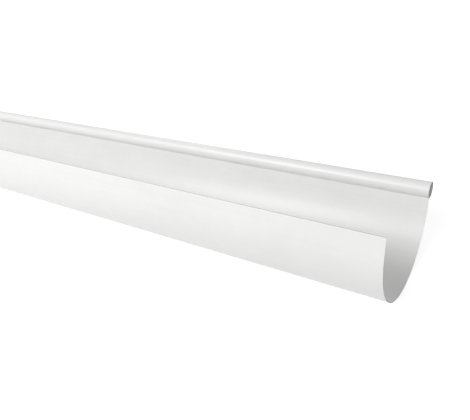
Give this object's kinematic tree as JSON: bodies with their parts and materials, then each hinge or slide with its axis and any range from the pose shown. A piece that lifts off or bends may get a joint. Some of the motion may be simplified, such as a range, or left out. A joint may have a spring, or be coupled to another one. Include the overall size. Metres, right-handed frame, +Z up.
{
  "type": "gutter section",
  "caption": "Half-round eaves gutter in coated sheet metal: a straight length of trough with a plain upright back edge and a hollow rolled bead along the front, cut square.",
  "frame": {"origin": "middle of the length and of the width, at the lowest point of the trough's outside", "axes": "+X along the gutter, +Z up, +Y towards the rolled bead; the section lies turned 18.5 degrees about X, bead side down, as it comes to rest unheld on a level floor"},
  "size_m": [2, 0.163, 0.1157],
  "materials": {
    "coated_sheet": "satin white coating on steel sheet"
  },
  "bodies": {
    "root": {"gutter": "coated_sheet"}
  },
  "joints": []
}
